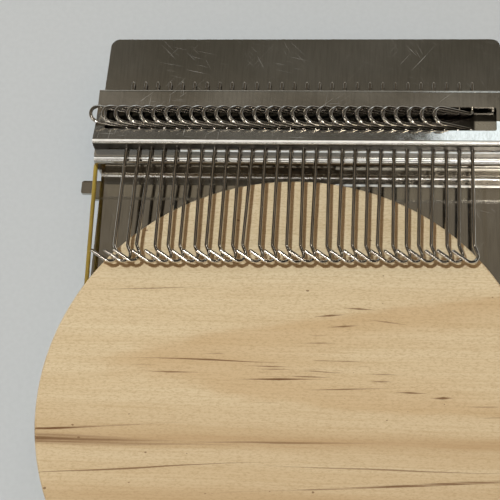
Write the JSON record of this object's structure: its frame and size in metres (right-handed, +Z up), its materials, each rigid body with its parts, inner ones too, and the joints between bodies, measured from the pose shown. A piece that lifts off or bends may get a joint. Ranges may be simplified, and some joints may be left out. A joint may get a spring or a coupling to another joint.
{
  "type": "darning loom",
  "caption": "Hand darning loom: a grooved pine disc on a bent steel plate, held by a rubber band, with a row of wire hooks that turn over together.",
  "frame": {"origin": "under the centre of the disc, on the flat underside of the steel plate", "axes": "+Y from the disc towards the hooks' carrier, +Z up from the plate through the disc, +X to the right"},
  "size_m": [0.104, 0.1393, 0.0148],
  "materials": {
    "pine": "sanded, matt",
    "plate_steel": "worn, polished",
    "carrier_steel": "polished",
    "wire_steel": "bright wire",
    "rubber": "smooth"
  },
  "bodies": {
    "loom": {"loom_plate": "plate_steel", "hook_carrier": "carrier_steel", "carrier_rivets": "carrier_steel", "elastic_band": "rubber"},
    "disc": {"wooden_disc": "pine"},
    "hook_01": {"hook_01": "wire_steel"},
    "hook_02": {"hook_02": "wire_steel"},
    "hook_03": {"hook_03": "wire_steel"},
    "hook_04": {"hook_04": "wire_steel"},
    "hook_05": {"hook_05": "wire_steel"},
    "hook_06": {"hook_06": "wire_steel"},
    "hook_07": {"hook_07": "wire_steel"},
    "hook_08": {"hook_08": "wire_steel"},
    "hook_09": {"hook_09": "wire_steel"},
    "hook_10": {"hook_10": "wire_steel"},
    "hook_11": {"hook_11": "wire_steel"},
    "hook_12": {"hook_12": "wire_steel"},
    "hook_13": {"hook_13": "wire_steel"},
    "hook_14": {"hook_14": "wire_steel"},
    "hook_15": {"hook_15": "wire_steel"},
    "hook_16": {"hook_16": "wire_steel"},
    "hook_17": {"hook_17": "wire_steel"},
    "hook_18": {"hook_18": "wire_steel"},
    "hook_19": {"hook_19": "wire_steel"},
    "hook_20": {"hook_20": "wire_steel"},
    "hook_21": {"hook_21": "wire_steel"},
    "hook_22": {"hook_22": "wire_steel"},
    "hook_23": {"hook_23": "wire_steel"},
    "hook_24": {"hook_24": "wire_steel"},
    "hook_25": {"hook_25": "wire_steel"},
    "hook_26": {"hook_26": "wire_steel"},
    "hook_27": {"hook_27": "wire_steel"},
    "hook_28": {"hook_28": "wire_steel"}
  },
  "joints": [
    {"name": "disc_pull", "type": "slide", "parent": "loom", "child": "disc", "axis": [0, -1, 0], "range_m": [0, 0.012], "stiffness_N_per_m": 25, "deforming": ["elastic_band"]},
    {"name": "hook_01_turn", "type": "hinge", "parent": "loom", "child": "hook_01", "pos_m": [-0.03794, 0.0585, 0.011], "axis": [0, 1, 0], "range_deg": [0, 135]},
    {"name": "hook_02_turn", "type": "hinge", "parent": "loom", "child": "hook_02", "pos_m": [-0.03513, 0.0585, 0.011], "axis": [0, 1, 0], "range_deg": [0, 135]},
    {"name": "hook_03_turn", "type": "hinge", "parent": "loom", "child": "hook_03", "pos_m": [-0.03232, 0.0585, 0.011], "axis": [0, 1, 0], "range_deg": [0, 135]},
    {"name": "hook_04_turn", "type": "hinge", "parent": "loom", "child": "hook_04", "pos_m": [-0.0295, 0.0585, 0.011], "axis": [0, 1, 0], "range_deg": [0, 135]},
    {"name": "hook_05_turn", "type": "hinge", "parent": "loom", "child": "hook_05", "pos_m": [-0.02669, 0.0585, 0.011], "axis": [0, 1, 0], "range_deg": [0, 135]},
    {"name": "hook_06_turn", "type": "hinge", "parent": "loom", "child": "hook_06", "pos_m": [-0.02388, 0.0585, 0.011], "axis": [0, 1, 0], "range_deg": [0, 135]},
    {"name": "hook_07_turn", "type": "hinge", "parent": "loom", "child": "hook_07", "pos_m": [-0.02107, 0.0585, 0.011], "axis": [0, 1, 0], "range_deg": [0, 135]},
    {"name": "hook_08_turn", "type": "hinge", "parent": "loom", "child": "hook_08", "pos_m": [-0.01826, 0.0585, 0.011], "axis": [0, 1, 0], "range_deg": [0, 135]},
    {"name": "hook_09_turn", "type": "hinge", "parent": "loom", "child": "hook_09", "pos_m": [-0.01545, 0.0585, 0.011], "axis": [0, 1, 0], "range_deg": [0, 135]},
    {"name": "hook_10_turn", "type": "hinge", "parent": "loom", "child": "hook_10", "pos_m": [-0.01264, 0.0585, 0.011], "axis": [0, 1, 0], "range_deg": [0, 135]},
    {"name": "hook_11_turn", "type": "hinge", "parent": "loom", "child": "hook_11", "pos_m": [-0.00983, 0.0585, 0.011], "axis": [0, 1, 0], "range_deg": [0, 135]},
    {"name": "hook_12_turn", "type": "hinge", "parent": "loom", "child": "hook_12", "pos_m": [-0.00702, 0.0585, 0.011], "axis": [0, 1, 0], "range_deg": [0, 135]},
    {"name": "hook_13_turn", "type": "hinge", "parent": "loom", "child": "hook_13", "pos_m": [-0.00421, 0.0585, 0.011], "axis": [0, 1, 0], "range_deg": [0, 135]},
    {"name": "hook_14_turn", "type": "hinge", "parent": "loom", "child": "hook_14", "pos_m": [-0.0014, 0.0585, 0.011], "axis": [0, 1, 0], "range_deg": [0, 135]},
    {"name": "hook_15_turn", "type": "hinge", "parent": "loom", "child": "hook_15", "pos_m": [0.0014, 0.0585, 0.011], "axis": [0, 1, 0], "range_deg": [0, 135]},
    {"name": "hook_16_turn", "type": "hinge", "parent": "loom", "child": "hook_16", "pos_m": [0.00421, 0.0585, 0.011], "axis": [0, 1, 0], "range_deg": [0, 135]},
    {"name": "hook_17_turn", "type": "hinge", "parent": "loom", "child": "hook_17", "pos_m": [0.00702, 0.0585, 0.011], "axis": [0, 1, 0], "range_deg": [0, 135]},
    {"name": "hook_18_turn", "type": "hinge", "parent": "loom", "child": "hook_18", "pos_m": [0.00983, 0.0585, 0.011], "axis": [0, 1, 0], "range_deg": [0, 135]},
    {"name": "hook_19_turn", "type": "hinge", "parent": "loom", "child": "hook_19", "pos_m": [0.01264, 0.0585, 0.011], "axis": [0, 1, 0], "range_deg": [0, 135]},
    {"name": "hook_20_turn", "type": "hinge", "parent": "loom", "child": "hook_20", "pos_m": [0.01545, 0.0585, 0.011], "axis": [0, 1, 0], "range_deg": [0, 135]},
    {"name": "hook_21_turn", "type": "hinge", "parent": "loom", "child": "hook_21", "pos_m": [0.01826, 0.0585, 0.011], "axis": [0, 1, 0], "range_deg": [0, 135]},
    {"name": "hook_22_turn", "type": "hinge", "parent": "loom", "child": "hook_22", "pos_m": [0.02107, 0.0585, 0.011], "axis": [0, 1, 0], "range_deg": [0, 135]},
    {"name": "hook_23_turn", "type": "hinge", "parent": "loom", "child": "hook_23", "pos_m": [0.02388, 0.0585, 0.011], "axis": [0, 1, 0], "range_deg": [0, 135]},
    {"name": "hook_24_turn", "type": "hinge", "parent": "loom", "child": "hook_24", "pos_m": [0.02669, 0.0585, 0.011], "axis": [0, 1, 0], "range_deg": [0, 135]},
    {"name": "hook_25_turn", "type": "hinge", "parent": "loom", "child": "hook_25", "pos_m": [0.0295, 0.0585, 0.011], "axis": [0, 1, 0], "range_deg": [0, 135]},
    {"name": "hook_26_turn", "type": "hinge", "parent": "loom", "child": "hook_26", "pos_m": [0.03232, 0.0585, 0.011], "axis": [0, 1, 0], "range_deg": [0, 135]},
    {"name": "hook_27_turn", "type": "hinge", "parent": "loom", "child": "hook_27", "pos_m": [0.03513, 0.0585, 0.011], "axis": [0, 1, 0], "range_deg": [0, 135]},
    {"name": "hook_28_turn", "type": "hinge", "parent": "loom", "child": "hook_28", "pos_m": [0.03794, 0.0585, 0.011], "axis": [0, 1, 0], "range_deg": [0, 135]}
  ],
  "couplings": [
    {"joint": "hook_02_turn", "follows": "hook_01_turn", "ratio": 1},
    {"joint": "hook_03_turn", "follows": "hook_01_turn", "ratio": 1},
    {"joint": "hook_04_turn", "follows": "hook_01_turn", "ratio": 1},
    {"joint": "hook_05_turn", "follows": "hook_01_turn", "ratio": 1},
    {"joint": "hook_06_turn", "follows": "hook_01_turn", "ratio": 1},
    {"joint": "hook_07_turn", "follows": "hook_01_turn", "ratio": 1},
    {"joint": "hook_08_turn", "follows": "hook_01_turn", "ratio": 1},
    {"joint": "hook_09_turn", "follows": "hook_01_turn", "ratio": 1},
    {"joint": "hook_10_turn", "follows": "hook_01_turn", "ratio": 1},
    {"joint": "hook_11_turn", "follows": "hook_01_turn", "ratio": 1},
    {"joint": "hook_12_turn", "follows": "hook_01_turn", "ratio": 1},
    {"joint": "hook_13_turn", "follows": "hook_01_turn", "ratio": 1},
    {"joint": "hook_14_turn", "follows": "hook_01_turn", "ratio": 1},
    {"joint": "hook_15_turn", "follows": "hook_01_turn", "ratio": 1},
    {"joint": "hook_16_turn", "follows": "hook_01_turn", "ratio": 1},
    {"joint": "hook_17_turn", "follows": "hook_01_turn", "ratio": 1},
    {"joint": "hook_18_turn", "follows": "hook_01_turn", "ratio": 1},
    {"joint": "hook_19_turn", "follows": "hook_01_turn", "ratio": 1},
    {"joint": "hook_20_turn", "follows": "hook_01_turn", "ratio": 1},
    {"joint": "hook_21_turn", "follows": "hook_01_turn", "ratio": 1},
    {"joint": "hook_22_turn", "follows": "hook_01_turn", "ratio": 1},
    {"joint": "hook_23_turn", "follows": "hook_01_turn", "ratio": 1},
    {"joint": "hook_24_turn", "follows": "hook_01_turn", "ratio": 1},
    {"joint": "hook_25_turn", "follows": "hook_01_turn", "ratio": 1},
    {"joint": "hook_26_turn", "follows": "hook_01_turn", "ratio": 1},
    {"joint": "hook_27_turn", "follows": "hook_01_turn", "ratio": 1},
    {"joint": "hook_28_turn", "follows": "hook_01_turn", "ratio": 1}
  ]
}
